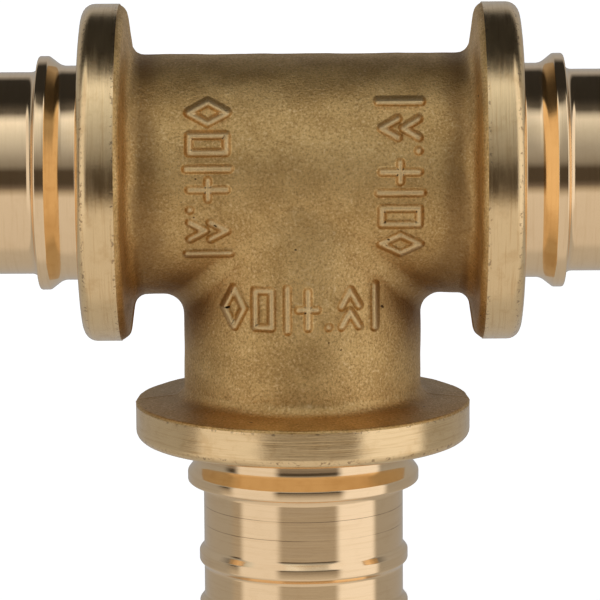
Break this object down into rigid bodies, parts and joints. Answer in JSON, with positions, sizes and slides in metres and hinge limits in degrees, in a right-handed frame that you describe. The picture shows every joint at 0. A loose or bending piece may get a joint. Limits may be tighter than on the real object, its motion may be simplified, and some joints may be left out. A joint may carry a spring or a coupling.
{
  "type": "pipe tee fitting",
  "caption": "Equal brass tee whose collared, ringed spigots take plastic pipe that is expanded on and locked with sliding sleeves.",
  "frame": {"origin": "centre of the branch spigot's mouth, which the tee stands on", "axes": "+X along the run, +Z from the branch mouth up to the run, -Y out of the front that carries the raised forging marks"},
  "size_m": [0.0962, 0.0336, 0.0701],
  "materials": {
    "forged_brass": "hot forged and blasted, fine matt grain, browned with oxide near its fillets",
    "turned_brass": "turned, with fine tool lines round the axis",
    "polished_brass": "fine turned and bright, with sharp reflections"
  },
  "bodies": {
    "root": {"forged_body": "forged_brass", "left_collar": "turned_brass", "left_neck": "turned_brass", "left_spigot": "polished_brass", "right_collar": "turned_brass", "right_neck": "turned_brass", "right_spigot": "polished_brass", "branch_collar": "turned_brass", "branch_neck": "turned_brass", "branch_spigot": "polished_brass"}
  },
  "joints": []
}
